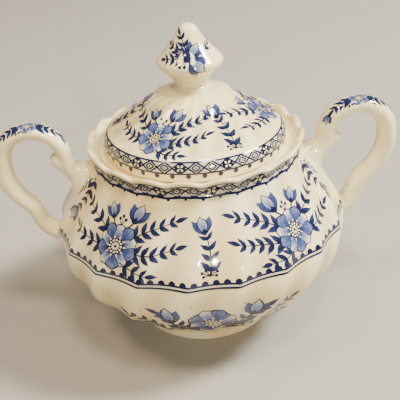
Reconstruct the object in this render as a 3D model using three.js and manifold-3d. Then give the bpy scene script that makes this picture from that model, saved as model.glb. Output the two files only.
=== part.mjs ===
// A two-handled covered sugar bowl in glazed earthenware: a swirl-fluted body with a scalloped collar,
// two scroll handles with spurs, and a loose domed lid with a bell-shaped knob.
// Millimetres, +Z up. The bowl stands on z = 0 over the origin, with its handles along X.
import * as THREE from "three";
import { mergeVertices } from "three/addons/utils/BufferGeometryUtils.js";
import Module from "manifold-3d";

const { clamp, degToRad, lerp, radToDeg, smoothstep } = THREE.MathUtils;

// Bowl: heights and radii of the outside, measured on the crests of the flutes.
const FOOT_R = 31.9;
const FOOT_H = 4.2;
const FOOT_WIDTH = 4.2;
const FOOT_RECESS = 2.6;
const BELLY_R = 63;
const BELLY_Z = 45;
const NECK_R = 42.8;
const NECK_Z = 79;
const WALL = 3.9;
const FLOOR = 4.6;
const EDGE = 0.6;

// Fullness of the outline's curves: how far each end's tangent reaches, as a share of the span.
const LOWER_FULL = 0.5;
const LOWER_SPRING = 0.2;
const SHOULDER_FULL = 0.34;
const NECK_SWEEP = 0.3;

// Collar: it flares from the neck, and a rounded lip ends it.
const COLLAR_R = NECK_R + 2.2;
const COLLAR_Z = NECK_Z + 5.3;
const COLLAR_WALL = 3.1;
const LIP = 2.4;

// Seat for the lid: a ledge inside the collar, round the mouth.
const LEDGE_R = NECK_R - COLLAR_WALL;
const LEDGE_Z = NECK_Z + 2.2;
const LEDGE_THICK = 3;
const MOUTH_R = LEDGE_R - 4.9;

// Swirled flutes, one lobe of the collar to each flute.
const FLUTES = 20;
const FLUTE_DEPTH = 1.7;
const FLUTE_STEPS = 5;
const CREST_SOFTNESS = 0.1;
const SWIRL = degToRad(30);
const SWIRL_POWER = 1.33;
const NECK_SHARE = 0.4;
const INNER_SHARE = 0.5;
const LOBE_RISE = 1.5;
const LOBE_REACH = 0.8;

// Clearances: the lid on its ledge and in the mouth, and the hairline between pieces fired as one.
const SEAT_GAP = 0.3;
const LID_CLEARANCE = 1.9;
const FLANGE_CLEARANCE = 1.2;
const LUTE_GAP = 0.3;

// Lid: a band, a domed top up to the knob's stalk, and a flange that drops into the mouth.
const LID_R = LEDGE_R - LID_CLEARANCE;
const LID_Z = LEDGE_Z + SEAT_GAP;
const BAND_R = LID_R - 1.5;
const BAND_H = 7.8;
const EDGE_ROUND = 1.1;
const DOME_R = 17.5;
const DOME_H = 20.5;
const STALK_R = 6.7;
const STALK_H = 25.6;
const LID_WALL = 3.6;
const FLANGE_R = MOUTH_R - FLANGE_CLEARANCE;
const FLANGE_THICK = 3.2;
const FLANGE_DROP = 7;
const LID_FLUTE_DEPTH = 0.5;
const LID_SWIRL = degToRad(24);
const LID_STEPS = 3;

// Knob: a bell with a rounded skirt.
const KNOB_R = 13.5;
const KNOB_H = 23.9;
const SKIRT_Z = 8.9;
const SKIRT_ROUND = 1.6;
const TIP_R = 4.9;
const KNOB_STEPS = 28;

// Handles: each leaves the body at its root, goes over the arch, reaches as far out as the other one, and
// comes back at the low joint. A rounded spur leaves the root and curls up beside the arm.
const HANDLE_REACH = 85.6;
const HANDLE_WIDTH = 9.2;
const ROOT_Z = 70.2;
const ROOT_WIDTH = 13;
const LOW_Z = 43.1;
const BURIED = 5;
const ARCH_STOPS = [170, 140, 112, 84, 56, 28, 0];
const HANDLE_RINGS = 38;
const HANDLE_SIDES = 16;
const SPUR_WIDTH = 7.8;
const SPUR_ROUND = 0.28;
const SPUR_RINGS = 12;
const SPUR_SIDES = 12;

// The right handle's own measures: the two were bent and stuck on by hand, and are not quite alike.
const RIGHT_TURN = 0;
const RIGHT_ROOT_LEAN = degToRad(50.5);
const RIGHT_ROOT_THICK = 16;
const RIGHT_ROOT_REACH = 10.9;
const RIGHT_ARM_R = COLLAR_R + 10.6;
const RIGHT_ARM_THICK = 8.7;
const RIGHT_ARCH_Z = 79.9;
const RIGHT_ARCH_RISE = 12;
const RIGHT_ARCH_THICK = 7.1;
const RIGHT_LOOP_THICK = 8.3;
const RIGHT_ELBOW_OUT = 10;
const RIGHT_ELBOW_RISE = 14.8;
const RIGHT_ELBOW_THICK = 9.1;
const RIGHT_LOW_THICK = 8.3;
const RIGHT_SPUR_OUT = 4.1;
const RIGHT_SPUR_THICK = 6.3;
const RIGHT_SPUR_TOP = 80.2;
const RIGHT_SPUR_FOOT = 75.5;
const RIGHT_SPUR_LEAN = 4.6;

// The left handle's own measures.
const LEFT_TURN = degToRad(181.4);
const LEFT_ROOT_LEAN = degToRad(46);
const LEFT_ROOT_THICK = 16.1;
const LEFT_ROOT_REACH = 10.8;
const LEFT_ARM_R = COLLAR_R + 10.1;
const LEFT_ARM_THICK = 6.6;
const LEFT_ARCH_Z = 79.9;
const LEFT_ARCH_RISE = 12.6;
const LEFT_ARCH_THICK = 6.4;
const LEFT_LOOP_THICK = 8.9;
const LEFT_ELBOW_OUT = 9.5;
const LEFT_ELBOW_RISE = 14.3;
const LEFT_ELBOW_THICK = 6.5;
const LEFT_LOW_THICK = 8;
const LEFT_SPUR_OUT = 3.7;
const LEFT_SPUR_THICK = 5.6;
const LEFT_SPUR_TOP = 81.8;
const LEFT_SPUR_FOOT = 74.6;
const LEFT_SPUR_LEAN = 5.2;

const glaze = () => new THREE.MeshStandardMaterial({ color: 0xefe6d2, roughness: 0.14, metalness: 0 });

const wasm = await Module();
wasm.setup();

const v2 = (x, y) => new THREE.Vector2(x, y);
const plain = (r, z) => ({ r, z });

// Points along a cubic curve from a to b, the first left out.
function sweep(a, pullA, pullB, b, count) {
  return new THREE.CubicBezierCurve(a, pullA, pullB, b).getPoints(count).slice(1);
}

// How far a flute has sunk at an angle: 0 on a crest, 1 in the middle of the hollow, with a softened crest.
function hollow(angle) {
  const wave = Math.abs(Math.sin(0.5 * FLUTES * angle));
  const soft = Math.hypot(wave, CREST_SOFTNESS) - CREST_SOFTNESS;
  return soft / (Math.hypot(1, CREST_SOFTNESS) - CREST_SOFTNESS);
}

// How far the flutes have turned at a height: they lean clockwise on their way down.
const bodyTwist = (z) => -SWIRL * clamp(1 - z / NECK_Z, 0, 1) ** SWIRL_POWER;

// Depth of the flutes at a height: none at the foot, full below the belly, shallow at the neck.
function bodyDepth(z) {
  const rising = smoothstep(z, 1.7 * FOOT_H, 0.6 * BELLY_Z);
  const fading = lerp(1, NECK_SHARE, smoothstep(z, BELLY_Z, NECK_Z));
  const ending = 1 - smoothstep(z, NECK_Z, COLLAR_Z);
  return FLUTE_DEPTH * rising * fading * ending;
}

// Moves a point of the bowl by the flutes, and by the scallop that comes in towards the rim.
function bodyRelief(r, z, angle, share = 1) {
  const low = hollow(angle);
  const lobe = (low - 0.5) * smoothstep(z, NECK_Z - 3, COLLAR_Z);
  return { r: r - bodyDepth(z) * low * share + LOBE_REACH * lobe, z: z + LOBE_RISE * lobe };
}

// Turns a closed outline about Z. Each stretch of it has its own relief, and the twist turns each height.
function turned(stretches, steps, twist = () => 0) {
  const outline = stretches.flatMap(({ points }) => points);
  const reliefs = stretches.flatMap(({ points, relief = plain }) => points.map(() => relief));
  const geometry = new THREE.LatheGeometry(outline, steps);
  const place = geometry.attributes.position;
  for (let i = 0; i <= steps; i += 1) {
    const angle = (2 * Math.PI * (i % steps)) / steps;
    outline.forEach((point, j) => {
      const { r, z } = reliefs[j](point.x, point.y, angle);
      const turn = angle + twist(point.y);
      place.setXYZ(i * outline.length + j, r * Math.cos(turn), r * Math.sin(turn), z);
    });
  }
  return facingOut(geometry);
}

// Merges doubled corners, drops empty triangles, and turns the faces outwards if they ran the other way.
function facingOut(geometry) {
  geometry.deleteAttribute("normal");
  geometry.deleteAttribute("uv");
  const merged = mergeVertices(geometry, 1e-4);
  const place = merged.attributes.position;
  const index = merged.index.array;
  const kept = [];
  let volume = 0;
  const [a, b, c] = [new THREE.Vector3(), new THREE.Vector3(), new THREE.Vector3()];
  for (let i = 0; i < index.length; i += 3) {
    const corners = [index[i], index[i + 1], index[i + 2]];
    if (new Set(corners).size === 3) {
      kept.push(...corners);
      a.fromBufferAttribute(place, corners[0]);
      b.fromBufferAttribute(place, corners[1]);
      c.fromBufferAttribute(place, corners[2]);
      volume += a.dot(b.cross(c));
    }
  }
  merged.setIndex(volume < 0 ? kept.reverse() : kept);
  return merged;
}

// Solid of the boolean library from a closed geometry, and back.
function solid(geometry) {
  const mesh = new wasm.Mesh({
    numProp: 3,
    vertProperties: new Float32Array(geometry.attributes.position.array),
    triVerts: new Uint32Array(geometry.index.array),
  });
  return new wasm.Manifold(mesh);
}

function geometryOf(manifold) {
  const mesh = manifold.getMesh();
  const geometry = new THREE.BufferGeometry();
  geometry.setAttribute("position", new THREE.BufferAttribute(mesh.vertProperties, 3));
  geometry.setIndex(new THREE.BufferAttribute(mesh.triVerts, 1));
  return geometry;
}

// Outside of the bowl, from the foot up to the rim of the collar, as radius and height.
function bodyOutside() {
  const foot = v2(FOOT_R, FOOT_H);
  const belly = v2(BELLY_R, BELLY_Z);
  const neck = v2(NECK_R, NECK_Z);
  const rise = BELLY_Z - FOOT_H;
  const shoulder = NECK_Z - BELLY_Z;
  const lower = sweep(
    foot,
    v2(lerp(FOOT_R, BELLY_R, LOWER_SPRING), FOOT_H + rise * LOWER_SPRING),
    v2(BELLY_R, FOOT_H + rise * LOWER_FULL),
    belly,
    8,
  );
  const upper = sweep(
    belly,
    v2(BELLY_R, BELLY_Z + shoulder * SHOULDER_FULL),
    v2(lerp(NECK_R, BELLY_R, NECK_SWEEP), NECK_Z - shoulder * NECK_SWEEP),
    neck,
    6,
  );
  const flare = sweep(
    neck,
    v2(NECK_R, lerp(NECK_Z, COLLAR_Z, 0.3)),
    v2(lerp(NECK_R, COLLAR_R, 0.6), lerp(NECK_Z, COLLAR_Z, 0.6)),
    v2(COLLAR_R, COLLAR_Z - 0.3 * LIP),
    3,
  );
  return [v2(FOOT_R - EDGE, 0), v2(FOOT_R, EDGE), foot, ...lower, ...upper, ...flare];
}

// The same outline moved inwards by the wall, which is thicker behind the crests than behind the hollows.
function insideOf(outside) {
  return outside.slice(1, -1).map((p, i) => {
    const run = outside[i + 2].clone().sub(outside[i]).normalize();
    const wall = WALL + bodyDepth(p.y) * (1 - INNER_SHARE);
    return v2(p.x - wall * run.y, p.y + wall * run.x);
  });
}

// The bowl's wall: the foot, the fluted outside, the collar's lip, the ledge and mouth, and the inside.
function bowlBody() {
  const outside = bodyOutside();
  const footInner = FOOT_R - FOOT_WIDTH;
  const floorZ = FOOT_RECESS + FLOOR;
  const foot = [
    v2(0, FOOT_RECESS),
    v2(footInner - 2 * EDGE, FOOT_RECESS),
    v2(footInner, EDGE),
    v2(footInner + EDGE, 0),
  ];
  const lip = [
    v2(COLLAR_R - 0.1 * LIP, COLLAR_Z + 0.2 * LIP),
    v2(COLLAR_R - 0.6 * LIP, COLLAR_Z + 0.15 * LIP),
    v2(COLLAR_R - 1.2 * LIP, COLLAR_Z - 0.4 * LIP),
  ];
  const seat = [
    v2(LEDGE_R + EDGE, LEDGE_Z + EDGE),
    v2(LEDGE_R, LEDGE_Z),
    v2(MOUTH_R + EDGE, LEDGE_Z),
    v2(MOUTH_R, LEDGE_Z - EDGE),
    v2(MOUTH_R, LEDGE_Z - LEDGE_THICK),
  ];
  const inner = insideOf(outside)
    .filter((p) => p.y > floorZ + 2 && p.y < LEDGE_Z - LEDGE_THICK - WALL)
    .filter((p, i) => i % 2 === 0)
    .reverse();
  const floor = [v2(footInner, floorZ + 1.4), v2(0.6 * footInner, floorZ), v2(0, floorZ)];
  const innerRelief = (r, z, angle) => bodyRelief(r, z, angle, INNER_SHARE);
  return turned(
    [
      { points: foot },
      { points: [...outside, ...lip], relief: bodyRelief },
      { points: seat },
      { points: inner, relief: innerRelief },
      { points: floor },
    ],
    FLUTES * FLUTE_STEPS,
    bodyTwist,
  );
}

// Everything inside the bowl's outside, grown by the hairline, to cut the handles' ends.
function bodyCutter() {
  const grown = bodyOutside().map((p) => v2(p.x + 1.3 * LUTE_GAP, p.y));
  const top = COLLAR_Z + LIP;
  return turned(
    [
      { points: [v2(0, 0)] },
      { points: grown, relief: bodyRelief },
      { points: [v2(COLLAR_R - LIP, top), v2(0, top)] },
    ],
    FLUTES * FLUTE_STEPS,
    bodyTwist,
  );
}

// Radius of the bowl's outside at a height, between the crests and the hollows.
function bodyRadius(z) {
  const outside = bodyOutside();
  const above = outside.findIndex((p) => p.y > z);
  if (above < 1) return COLLAR_R;
  const [a, b] = [outside[above - 1], outside[above]];
  return lerp(a.x, b.x, (z - a.y) / (b.y - a.y)) - 0.5 * bodyDepth(z);
}

// Loft of oval sections along a curve in the XZ plane, closed by its two ends.
function loft(curve, rings, sides, section) {
  const points = [];
  const across = new THREE.Vector3(0, 1, 0);
  for (let i = 0; i <= rings; i += 1) {
    const t = i / rings;
    const centre = curve.getPointAt(t);
    const out = new THREE.Vector3().crossVectors(curve.getTangentAt(t), across).normalize();
    const { thick, width } = section(t, centre);
    for (let k = 0; k < sides; k += 1) {
      const turn = (2 * Math.PI * k) / sides;
      const point = centre.clone().addScaledVector(out, 0.5 * thick * Math.cos(turn));
      points.push(point.addScaledVector(across, 0.5 * width * Math.sin(turn)));
    }
  }
  const ends = points.length;
  points.push(curve.getPointAt(0), curve.getPointAt(1));
  const faces = [];
  for (let k = 0; k < sides; k += 1) {
    const next = (k + 1) % sides;
    for (let ring = 0; ring < rings * sides; ring += sides) {
      faces.push(ring + k, ring + next, ring + sides + k);
      faces.push(ring + next, ring + sides + next, ring + sides + k);
    }
    faces.push(ends, next, k);
    faces.push(ends + 1, rings * sides + k, rings * sides + next);
  }
  const geometry = new THREE.BufferGeometry().setFromPoints(points);
  geometry.setIndex(faces);
  return facingOut(geometry);
}

// Value at t along a list of [t, value] stops, eased between them.
function eased(stops, t) {
  const next = Math.max(1, stops.findIndex(([at]) => at >= t));
  const [t0, value0] = stops[next - 1];
  const [t1, value1] = stops[next];
  return lerp(value0, value1, smoothstep(t, t0, t1));
}

// Both handles' measures by plain names. A bend is a point of the route as two shares, out and up, of the
// way from one joint to the next: from the root to the arm, from the elbow to the loop, from low to elbow.
const rightHandle = {
  turn: RIGHT_TURN,
  root: { lean: RIGHT_ROOT_LEAN, thick: RIGHT_ROOT_THICK, reach: RIGHT_ROOT_REACH },
  arm: { r: RIGHT_ARM_R, thick: RIGHT_ARM_THICK, bends: [[0.67, 0.42], [0.94, 0.73]] },
  arch: { z: RIGHT_ARCH_Z, rise: RIGHT_ARCH_RISE, thick: RIGHT_ARCH_THICK },
  loop: { thick: RIGHT_LOOP_THICK, bends: [[0.96, 0.61], [0.45, 0.19]] },
  elbow: { out: RIGHT_ELBOW_OUT, rise: RIGHT_ELBOW_RISE, thick: RIGHT_ELBOW_THICK },
  low: { thick: RIGHT_LOW_THICK, bends: [[0.62, 0.47], [0.39, 0.22]] },
  spur: {
    r: RIGHT_ARM_R + RIGHT_SPUR_OUT,
    lean: RIGHT_SPUR_LEAN,
    thick: RIGHT_SPUR_THICK,
    foot: RIGHT_SPUR_FOOT,
    top: RIGHT_SPUR_TOP,
  },
};
const leftHandle = {
  turn: LEFT_TURN,
  root: { lean: LEFT_ROOT_LEAN, thick: LEFT_ROOT_THICK, reach: LEFT_ROOT_REACH },
  arm: { r: LEFT_ARM_R, thick: LEFT_ARM_THICK, bends: [[0.7, 0.43], [0.96, 0.76]] },
  arch: { z: LEFT_ARCH_Z, rise: LEFT_ARCH_RISE, thick: LEFT_ARCH_THICK },
  loop: { thick: LEFT_LOOP_THICK, bends: [[0.98, 0.71], [0.59, 0.31]] },
  elbow: { out: LEFT_ELBOW_OUT, rise: LEFT_ELBOW_RISE, thick: LEFT_ELBOW_THICK },
  low: { thick: LEFT_LOW_THICK, bends: [[0.71, 0.5], [0.42, 0.26]] },
  spur: {
    r: LEFT_ARM_R + LEFT_SPUR_OUT,
    lean: LEFT_SPUR_LEAN,
    thick: LEFT_SPUR_THICK,
    foot: LEFT_SPUR_FOOT,
    top: LEFT_SPUR_TOP,
  },
};

// The scroll of a handle, on the +X side, with a root that flares towards the body.
function scroll({ turn, root, arm, arch, loop, elbow, low }) {
  const at = (r, z) => new THREE.Vector3(r, 0, z);
  const rooted = at(bodyRadius(ROOT_Z), ROOT_Z);
  const landed = at(bodyRadius(LOW_Z), LOW_Z);
  const armTop = at(arm.r, arch.z);
  const bent = at(landed.x + elbow.out, LOW_Z + elbow.rise);
  const span = HANDLE_REACH / Math.abs(Math.cos(turn)) - arm.r - 0.5 * loop.thick;
  const over = ARCH_STOPS.map((degrees) => {
    const angle = degToRad(degrees);
    return at(arm.r + 0.5 * span * (1 + Math.cos(angle)), arch.z + arch.rise * Math.sin(angle));
  });
  const furthest = over[over.length - 1];
  const bends = (a, b, shares) => shares.map(([out, up]) => at(lerp(a.x, b.x, out), lerp(a.z, b.z, up)));
  const route = new THREE.CatmullRomCurve3(
    [
      at(rooted.x - BURIED * Math.cos(root.lean), ROOT_Z - BURIED * Math.sin(root.lean)),
      rooted,
      ...bends(rooted, armTop, arm.bends),
      ...over,
      ...bends(bent, furthest, loop.bends),
      bent,
      ...bends(landed, bent, low.bends),
      at(landed.x - BURIED, LOW_Z - 0.35 * BURIED),
    ],
    false,
    "centripetal",
  );
  const thickness = [
    [0, arm.thick],
    [0.2, arm.thick],
    [0.36, arch.thick],
    [0.56, loop.thick],
    [0.8, elbow.thick],
    [1, low.thick],
  ];
  return loft(route, HANDLE_RINGS, HANDLE_SIDES, (t, p) => {
    const away = t < 0.5 ? (p.x - bodyRadius(p.z)) / root.reach : 1;
    const near = clamp(1 - away, 0, 1) ** 2;
    return {
      thick: eased(thickness, t) + (root.thick - arm.thick) * near,
      width: lerp(HANDLE_WIDTH, ROOT_WIDTH, near),
    };
  });
}

// The spur beside the arm, with a rounded end.
function spur({ r, lean, thick, foot, top }) {
  const at = (back, up) => new THREE.Vector3(r - back * lean, 0, lerp(foot, top, up));
  const points = [at(1.3, -0.3), at(0.75, 0), at(0.36, 0.3), at(0.07, 0.62), at(0, 1)];
  return loft(new THREE.CatmullRomCurve3(points), SPUR_RINGS, SPUR_SIDES, (t) => {
    const nearEnd = clamp((t - 1 + SPUR_ROUND) / SPUR_ROUND, 0, 1);
    const size = Math.sqrt(Math.max(0.02, 1 - nearEnd ** 2));
    return { thick: thick * size, width: SPUR_WIDTH * size };
  });
}

// A whole handle, turned to its side of the bowl before its ends are cut to the bowl's outside.
function handle(measures) {
  const whole = solid(scroll(measures)).add(solid(spur(measures.spur)));
  return geometryOf(whole.rotate([0, 0, radToDeg(measures.turn)]).subtract(solid(bodyCutter())));
}

// The lid's wall: the hollow and flange underneath, then the band, the fluted dome and the stalk on top.
function lid() {
  const hollowR = FLANGE_R - FLANGE_THICK;
  const flangeZ = LEDGE_Z - FLANGE_DROP;
  const bandTop = v2(BAND_R, LID_Z + BAND_H);
  const dome = v2(DOME_R, LID_Z + DOME_H);
  const stalk = v2(STALK_R, LID_Z + STALK_H);
  const shoulder = sweep(
    bandTop,
    v2(lerp(BAND_R, DOME_R, 0.15), lerp(bandTop.y, dome.y, 0.2)),
    v2(lerp(BAND_R, DOME_R, 0.6), lerp(bandTop.y, dome.y, 0.5)),
    dome,
    6,
  );
  const flare = sweep(
    dome,
    v2(lerp(DOME_R, STALK_R, 0.38), lerp(dome.y, stalk.y, 0.52)),
    v2(lerp(DOME_R, STALK_R, 0.86), lerp(dome.y, stalk.y, 0.5)),
    stalk,
    4,
  );
  const underside = [
    v2(0, dome.y - LID_WALL),
    v2(0.5 * DOME_R, dome.y - LID_WALL),
    v2(DOME_R + 2, lerp(bandTop.y, dome.y, 0.6) - 0.8 * LID_WALL),
    v2(hollowR - 2.5, bandTop.y - 0.6 * LID_WALL),
    v2(hollowR, LID_Z + 1.5),
    v2(hollowR, flangeZ + EDGE),
    v2(hollowR + EDGE, flangeZ),
    v2(FLANGE_R - EDGE, flangeZ),
    v2(FLANGE_R, flangeZ + EDGE),
    v2(FLANGE_R, LID_Z),
  ];
  const band = [
    v2(LID_R - EDGE_ROUND, LID_Z),
    v2(LID_R, LID_Z + EDGE_ROUND),
    v2(LID_R, LID_Z + 0.48 * BAND_H),
    bandTop,
  ];
  const rise = (z) => clamp((z - bandTop.y) / (stalk.y - bandTop.y), 0, 1);
  const fluted = (r, z, angle) => {
    const depth = LID_FLUTE_DEPTH * smoothstep(rise(z), 0, 0.25) * (1 - smoothstep(rise(z), 0.6, 1));
    return { r, z: z - depth * hollow(angle) };
  };
  return turned(
    [
      { points: [...underside, ...band] },
      { points: [...shoulder, ...flare], relief: fluted },
      { points: [v2(0, stalk.y)] },
    ],
    FLUTES * LID_STEPS,
    (z) => LID_SWIRL * rise(z),
  );
}

// The knob, a turned bell that stands on the lid's stalk.
function lidKnob() {
  const foot = v2(STALK_R, LID_Z + STALK_H + LUTE_GAP);
  const skirt = v2(KNOB_R, foot.y + SKIRT_Z);
  const below = v2(KNOB_R - 0.5 * SKIRT_ROUND, skirt.y - SKIRT_ROUND);
  const above = v2(KNOB_R - 0.4 * SKIRT_ROUND, skirt.y + SKIRT_ROUND);
  const top = foot.y + KNOB_H;
  const tip = v2(TIP_R, top - 0.8 * TIP_R);
  const points = [
    v2(0, foot.y),
    foot,
    ...sweep(foot, v2(STALK_R, foot.y + 3.2), v2(below.x - SKIRT_ROUND, below.y - 1.8), below, 5),
    skirt,
    above,
    ...sweep(above, v2(above.x - 2.4, above.y + 2.8), v2(TIP_R + 2.2, tip.y - 6), tip, 5),
    ...sweep(tip, v2(0.82 * TIP_R, tip.y + 0.4 * TIP_R), v2(0.6 * TIP_R, top), v2(0, top), 4),
  ];
  return turned([{ points }], KNOB_STEPS);
}

function piece(name, geometry) {
  geometry.computeVertexNormals();
  const mesh = new THREE.Mesh(geometry, glaze());
  mesh.name = name;
  return mesh;
}

const sugarBowl = new THREE.Group();
sugarBowl.name = "sugar_bowl";
sugarBowl.add(piece("bowl_body", bowlBody()));
sugarBowl.add(piece("handle_right", handle(rightHandle)));
sugarBowl.add(piece("handle_left", handle(leftHandle)));
sugarBowl.add(piece("lid", lid()));
sugarBowl.add(piece("lid_knob", lidKnob()));

export default sugarBowl;
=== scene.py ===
import math
from types import SimpleNamespace

import bmesh
import bpy
from mathutils import Matrix, Vector
from mathutils.bvhtree import BVHTree
from mathutils.geometry import interpolate_bezier


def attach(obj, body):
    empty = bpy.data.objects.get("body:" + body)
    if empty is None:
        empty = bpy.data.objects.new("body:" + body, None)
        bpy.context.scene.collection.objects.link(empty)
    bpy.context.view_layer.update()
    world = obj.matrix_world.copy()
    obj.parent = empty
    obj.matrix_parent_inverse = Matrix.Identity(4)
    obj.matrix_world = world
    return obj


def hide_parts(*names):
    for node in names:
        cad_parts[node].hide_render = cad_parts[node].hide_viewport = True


# A covered sugar bowl in cream earthenware: a swirl-fluted body with a scalloped collar, two scroll
# handles, and a loose lid with a bell knob, under one glossy glaze with a print in cobalt blue.
# Shapes are worked out in millimetres, with +Z up, and each finished piece is scaled to metres.

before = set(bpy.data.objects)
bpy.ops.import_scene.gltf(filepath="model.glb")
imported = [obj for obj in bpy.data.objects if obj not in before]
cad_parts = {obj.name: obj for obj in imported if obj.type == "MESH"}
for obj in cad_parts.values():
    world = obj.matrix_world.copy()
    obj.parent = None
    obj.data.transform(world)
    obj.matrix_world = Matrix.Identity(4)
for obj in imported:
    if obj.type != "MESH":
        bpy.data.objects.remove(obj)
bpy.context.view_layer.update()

MM = 0.001

# Camera: a 61.7 mm lens, 299 mm from the bowl and about 30 degrees above it, held a little askew.
LENS = 61.69
VIEW_DISTANCE = 299.1
VIEW_ELEVATION = math.radians(29.85)
VIEW_TURN = math.radians(-2)
VIEW_ROLL = math.radians(-3.99)
VIEW_HEIGHT = 60
VIEW_OFFSET = (0.73, -6.55)

# Bowl: heights and radii of the outside, on the crests of the flutes.
FOOT_R = 31.9
FOOT_H = 4.2
FOOT_WIDTH = 4.2
FOOT_RECESS = 2.6
BELLY_R = 62.95
BELLY_Z = 45
NECK_R = 42.8
NECK_Z = 79
COLLAR_R = 45
COLLAR_Z = 84.3
LIP = 2.4
WALL = 3.9
FLOOR = 4.6
EDGE = 0.6
LEDGE_R = 39.7
LEDGE_Z = 81.2
LEDGE_THICK = 3
MOUTH_R = 34.8

# Flutes and the collar's lobes. A share is the part of the flutes' depth that reaches the neck, or
# the wall's inner side.
FLUTES = 20
FLUTE_DEPTH = 1.7
CREST_SOFTNESS = 0.1
SWIRL = math.radians(30)
SWIRL_POWER = 1.33
NECK_SHARE = 0.4
INNER_SHARE = 0.5
LOBE_RISE = 1.5
LOBE_REACH = 0.8

# Steps of the turned shapes within each flute.
BOWL_STEPS = 20
LID_STEPS = 15
KNOB_STEPS = 5

# Lid and knob.
LID_R = 37.8
LID_Z = 81.3
LID_ROUND = 1.2
BAND_R = 36.3
BAND_H = 7.8
DOME_R = 17.5
DOME_H = 20.7
STALK_R = 6.7
STALK_H = 26
LID_WALL = 3.6
FLANGE_R = 33.6
FLANGE_THICK = 3.2
FLANGE_Z = 74.3
LID_FLUTE_DEPTH = 0.5
LID_SWIRL = math.radians(24)
KNOB_R = 13.5
KNOB_TOP = 131.25
KNOB_SUNK = 0.5
SKIRT_Z = 116.3
SKIRT_ROUND = 1.6
TIP_R = 4.9

# Handles: what both share. Each leaves the body at its root, goes over the arch, reaches as far out
# as the other one, and comes back at the low joint. Its route starts and ends buried in the wall,
# its skin stops embedded in it, and a fillet of clay is worked round each joint.
HANDLE_REACH = 85.6
HANDLE_WIDTH = 9.2
ROOT_Z = 70.2
ROOT_WIDTH = 13
LOW_Z = 43.1
BURIED = 5
EMBEDDED = 1.2
FILLET = 1.6
SPUR_WIDTH = 7.8
SCROLL_RINGS = 220
SCROLL_SIDES = 40
SPUR_RINGS = 40
SPUR_SIDES = 28
SKIN_CELL = 0.4
SOFTENINGS = 8

# Their own measures: the two were bent and stuck on by hand, and are not quite alike. A bend is a
# point of the route as two shares, out and up, of the way from one joint to the next.
RIGHT_HANDLE = SimpleNamespace(
    turn=0,
    root_lean=math.radians(50.5),
    root_thick=16,
    root_reach=10.9,
    arm_r=55.6,
    arm_thick=8.7,
    arm_bends=((0.67, 0.42), (0.94, 0.73)),
    arch_z=79.9,
    arch_rise=12,
    arch_thick=7.1,
    loop_thick=8.3,
    loop_bends=((0.96, 0.61), (0.45, 0.19)),
    elbow_out=10,
    elbow_rise=14.8,
    elbow_thick=9.1,
    low_thick=8.3,
    low_bends=((0.62, 0.47), (0.39, 0.22)),
    spur_out=4.1,
    spur_thick=6.3,
    spur_top=80.2,
    spur_foot=75.5,
    spur_lean=4.6,
)
LEFT_HANDLE = SimpleNamespace(
    turn=math.radians(181.4),
    root_lean=math.radians(46),
    root_thick=16.1,
    root_reach=10.8,
    arm_r=55.1,
    arm_thick=6.6,
    arm_bends=((0.7, 0.43), (0.96, 0.76)),
    arch_z=79.9,
    arch_rise=12.6,
    arch_thick=6.4,
    loop_thick=8.9,
    loop_bends=((0.98, 0.71), (0.59, 0.31)),
    elbow_out=9.5,
    elbow_rise=14.3,
    elbow_thick=6.5,
    low_thick=8,
    low_bends=((0.71, 0.5), (0.42, 0.26)),
    spur_out=3.7,
    spur_thick=5.6,
    spur_top=81.8,
    spur_foot=74.6,
    spur_lean=5.2,
)

# Print: the lift of the lowest shapes from the glaze, the step between layers, and the cell that
# lets a shape bend over a crest.
PRINT_LIFT = 0.05
LAYER = 0.02
CELL = 0.8

# Where the print starts: heights on the bowl, distances up the outlines of the lid and the knob,
# how far round the lid's border begins, and a share of the way along a handle, where the spray is
# moved aside a little to the front.
BOUQUET_Z = 52.3
TRAIL_Z = 75.5
SPRIG_Z = 53.5
GARLAND_Z = 20
BELLY_LINE_Z = 49
BELLY_LINE_R = 62.5
BELLY_DOTS = 92
COLLAR_BORDER_Z = 77.6
LID_BORDER_UP = 2.8
LID_BORDER_DEGREES = -9.4
LID_BOUQUET_UP = 9.3
LID_SPRIG_UP = 10
KNOB_SPRIG_UP = 17
HANDLE_SPRAY_AT = 0.35
HANDLE_SPRAY_ASIDE = 2

# Patterns of the glaze and the ink, in millimetres on the ware. Iron specks are drawn up to 1 mm
# wide, and the ink's mottle four times as coarse as real stipple of about 0.35 mm, because both
# would be too fine to show.
CLOUD = 41.7
STAIN = 58.8
SPECKS_APART = 6.67
RIPPLE = 11.1
INK_MOTTLE = 1.43

# Half the width of the studio floor in metres, so that its edge lies far behind the bowl.
FLOOR_HALF = 12


def mix(a, b, share):
    """The value at a share of the way from a to b."""
    return a + (b - a) * share


def clamped(value):
    """The value, kept between 0 and 1."""
    return min(max(value, 0.0), 1.0)


def eased(value, low, high):
    """Rises smoothly from 0 to 1 as the value goes from low to high."""
    t = clamped((value - low) / (high - low))
    return t * t * (3 - 2 * t)


# Camera


def add_camera():
    """The photograph's view: the camera turns round the bowl, tilts down and rolls."""
    data = bpy.data.cameras.new("camera")
    data.lens = LENS
    data.clip_start = 10 * MM
    camera = bpy.data.objects.new("camera", data)
    bpy.context.scene.collection.objects.link(camera)
    aim = (
        Matrix.Rotation(VIEW_TURN, 4, "Z")
        @ Matrix.Rotation(math.pi / 2 - VIEW_ELEVATION, 4, "X")
        @ Matrix.Rotation(VIEW_ROLL, 4, "Z")
    )
    place = Vector((0, 0, VIEW_HEIGHT)) + aim @ Vector((*VIEW_OFFSET, VIEW_DISTANCE))
    camera.matrix_world = Matrix.Translation(place * MM) @ aim
    bpy.context.scene.camera = camera


# Turned shapes


def sweep(start, pull_start, pull_end, end, count):
    """Points of a smooth curve after its start, as radius and height."""
    corners = [Vector(corner) for corner in (start, pull_start, pull_end, end)]
    return interpolate_bezier(*corners, count + 1)[1:]


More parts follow.
